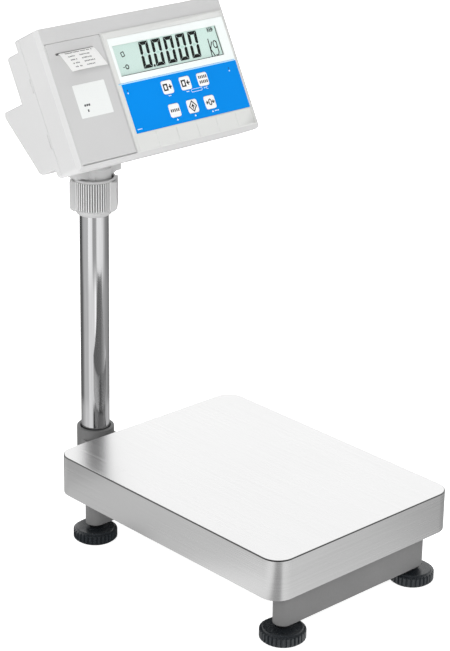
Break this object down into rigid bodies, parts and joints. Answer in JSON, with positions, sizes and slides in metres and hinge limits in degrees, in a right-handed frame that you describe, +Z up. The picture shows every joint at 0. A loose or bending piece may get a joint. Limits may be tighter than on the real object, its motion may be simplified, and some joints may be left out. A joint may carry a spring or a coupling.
{
  "type": "bench scale",
  "caption": "Bench weighing scale with a flat steel pan on levelling feet and a pole that carries a tilting indicator with keypad, display and printer.",
  "frame": {"origin": "on the bench, below the middle of the whole scale", "axes": "+X to the right of the user who faces the scale, +Y away from the user towards the pole, +Z up"},
  "size_m": [0.3, 0.5362, 0.6561],
  "materials": {
    "frame_grey": "satin powder coat",
    "socket_grey": "satin powder coat",
    "chrome_tube": "polished chrome plate",
    "zinc_steel": "zinc plated",
    "dark_screw": "black oxide",
    "cell_alloy": "milled",
    "spider_alloy": "cast",
    "pan_steel": "fine brushed stainless",
    "pad_rubber": "matt",
    "wheel_black": "fine satin moulding",
    "level_black": "satin",
    "level_fluid": "clear tinted",
    "cable_jacket": "satin",
    "collar_plastic": "satin moulding",
    "neck_plastic": "satin moulding",
    "bracket_steel": "satin powder coat",
    "shell_abs": "fine spark texture",
    "bezel_abs": "fine spark texture",
    "film_white": "satin polyester film",
    "film_blue": "satin polyester film",
    "key_white": "satin",
    "window_clear": "clear",
    "lcd_face": "reflective display",
    "board_green": "solder mask",
    "battery_grey": "satin",
    "port_dark": "satin",
    "printer_grey": "satin",
    "paper_white": "thermal paper"
  },
  "bodies": {
    "base": {"front_beam": "frame_grey", "rear_beam": "frame_grey", "spine": "frame_grey", "pole_arm": "frame_grey", "pole_socket": "socket_grey", "socket_screws": "dark_screw", "pole": "chrome_tube", "foot_lock_nuts": "dark_screw", "load_cell": "cell_alloy", "cell_bolts": "dark_screw", "load_frame": "spider_alloy", "pan_pads": "pad_rubber", "overload_stops": "zinc_steel", "level_housing": "level_black", "level_vial": "level_fluid", "load_cell_cable": "cable_jacket"},
    "pan": {"pan": "pan_steel"},
    "neck": {"neck": "neck_plastic", "friction_ring": "collar_plastic", "tilt_bolt": "zinc_steel"},
    "collar": {"collar_nut": "collar_plastic"},
    "knob_left": {"tilt_knob_left": "wheel_black"},
    "knob_right": {"tilt_knob_right": "wheel_black"},
    "head": {"head_bracket": "bracket_steel", "head_screws": "dark_screw", "front_shell": "shell_abs", "rear_shell": "shell_abs", "display_bezel": "bezel_abs", "display_frame": "film_white", "display_window": "window_clear", "lcd_panel": "lcd_face", "keypad_overlay": "film_blue", "key_board": "board_green", "main_board": "board_green", "battery": "battery_grey", "rear_ports": "port_dark", "printer_frame": "printer_grey", "cover_pin": "zinc_steel"},
    "platen": {"platen_roller": "pad_rubber"},
    "roll": {"paper_roll": "paper_white"},
    "cover": {"printer_cover": "shell_abs", "paper_strip": "paper_white"},
    "sole_fl": {"foot_sole_fl": "pad_rubber"},
    "wheel_fl": {"foot_wheel_fl": "wheel_black", "foot_stud_fl": "zinc_steel"},
    "sole_fr": {"foot_sole_fr": "pad_rubber"},
    "wheel_fr": {"foot_wheel_fr": "wheel_black", "foot_stud_fr": "zinc_steel"},
    "sole_rl": {"foot_sole_rl": "pad_rubber"},
    "wheel_rl": {"foot_wheel_rl": "wheel_black", "foot_stud_rl": "zinc_steel"},
    "sole_rr": {"foot_sole_rr": "pad_rubber"},
    "wheel_rr": {"foot_wheel_rr": "wheel_black", "foot_stud_rr": "zinc_steel"},
    "key_1": {"key_1": "key_white"},
    "key_2": {"key_2": "key_white"},
    "key_3": {"key_3": "key_white"},
    "key_4": {"key_4": "key_white"},
    "key_5": {"key_5": "key_white"},
    "key_6": {"key_6": "key_white"}
  },
  "joints": [
    {"name": "pan_lift", "type": "slide", "parent": "base", "child": "pan", "axis": [0, 0, 1], "range_m": [0, 0.1]},
    {"name": "foot_fl_height", "type": "slide", "parent": "base", "child": "sole_fl", "axis": [0, 0, 1], "range_m": [-0.008, 0]},
    {"name": "foot_fl_turn", "type": "hinge", "parent": "sole_fl", "child": "wheel_fl", "pos_m": [-0.111, -0.2406, 0], "axis": [0, 0, 1], "range_deg": [-1920, 0]},
    {"name": "foot_fr_height", "type": "slide", "parent": "base", "child": "sole_fr", "axis": [0, 0, 1], "range_m": [-0.008, 0]},
    {"name": "foot_fr_turn", "type": "hinge", "parent": "sole_fr", "child": "wheel_fr", "pos_m": [0.111, -0.2406, 0], "axis": [0, 0, 1], "range_deg": [-1920, 0]},
    {"name": "foot_rl_height", "type": "slide", "parent": "base", "child": "sole_rl", "axis": [0, 0, 1], "range_m": [-0.008, 0]},
    {"name": "foot_rl_turn", "type": "hinge", "parent": "sole_rl", "child": "wheel_rl", "pos_m": [-0.111, 0.1024, 0], "axis": [0, 0, 1], "range_deg": [-1920, 0]},
    {"name": "foot_rr_height", "type": "slide", "parent": "base", "child": "sole_rr", "axis": [0, 0, 1], "range_m": [-0.008, 0]},
    {"name": "foot_rr_turn", "type": "hinge", "parent": "sole_rr", "child": "wheel_rr", "pos_m": [0.111, 0.1024, 0], "axis": [0, 0, 1], "range_deg": [-1920, 0]},
    {"name": "head_swivel", "type": "hinge", "parent": "base", "child": "neck", "pos_m": [0, 0.2354, 0.429], "axis": [0, 0, 1], "range_deg": [-150, 150]},
    {"name": "collar_turn", "type": "hinge", "parent": "neck", "child": "collar", "pos_m": [0, 0.2354, 0.404], "axis": [0, 0, 1], "range_deg": [0, 360]},
    {"name": "head_tilt", "type": "hinge", "parent": "neck", "child": "head", "pos_m": [0, 0.2054, 0.49], "axis": [1, 0, 0], "range_deg": [-20, 20]},
    {"name": "knob_left_turn", "type": "hinge", "parent": "neck", "child": "knob_left", "pos_m": [-0.046, 0.2054, 0.49], "axis": [-1, 0, 0], "range_deg": [-180, 180]},
    {"name": "knob_right_turn", "type": "hinge", "parent": "neck", "child": "knob_right", "pos_m": [0.046, 0.2054, 0.49], "axis": [1, 0, 0], "range_deg": [-180, 180]},
    {"name": "key_1_press", "type": "slide", "parent": "head", "child": "key_1", "axis": [0, 0.8829, -0.4695], "range_m": [0, 0.0007], "stiffness_N_per_m": 1500, "springref_m": -0.0003},
    {"name": "key_2_press", "type": "slide", "parent": "head", "child": "key_2", "axis": [0, 0.8829, -0.4695], "range_m": [0, 0.0007], "stiffness_N_per_m": 1500, "springref_m": -0.0003},
    {"name": "key_3_press", "type": "slide", "parent": "head", "child": "key_3", "axis": [0, 0.8829, -0.4695], "range_m": [0, 0.0007], "stiffness_N_per_m": 1500, "springref_m": -0.0003},
    {"name": "key_4_press", "type": "slide", "parent": "head", "child": "key_4", "axis": [0, 0.8829, -0.4695], "range_m": [0, 0.0007], "stiffness_N_per_m": 1500, "springref_m": -0.0003},
    {"name": "key_5_press", "type": "slide", "parent": "head", "child": "key_5", "axis": [0, 0.8829, -0.4695], "range_m": [0, 0.0007], "stiffness_N_per_m": 1500, "springref_m": -0.0003},
    {"name": "key_6_press", "type": "slide", "parent": "head", "child": "key_6", "axis": [0, 0.8829, -0.4695], "range_m": [0, 0.0007], "stiffness_N_per_m": 1500, "springref_m": -0.0003},
    {"name": "cover_open", "type": "hinge", "parent": "head", "child": "cover", "pos_m": [-0.099, 0.08864, 0.50791], "axis": [1, 0, 0], "range_deg": [0, 75]},
    {"name": "roll_turn", "type": "hinge", "parent": "head", "child": "roll", "pos_m": [-0.1, 0.15649, 0.55564], "axis": [1, 0, 0], "continuous": true},
    {"name": "platen_turn", "type": "hinge", "parent": "head", "child": "platen", "pos_m": [-0.1, 0.15613, 0.61247], "axis": [1, 0, 0], "continuous": true}
  ],
  "couplings": [
    {"joint": "foot_fl_height", "follows": "foot_fl_turn", "m_per_rad": 0.00023873},
    {"joint": "foot_fr_height", "follows": "foot_fr_turn", "m_per_rad": 0.00023873},
    {"joint": "foot_rl_height", "follows": "foot_rl_turn", "m_per_rad": 0.00023873},
    {"joint": "foot_rr_height", "follows": "foot_rr_turn", "m_per_rad": 0.00023873},
    {"joint": "platen_turn", "follows": "roll_turn", "ratio": 3.8333}
  ]
}
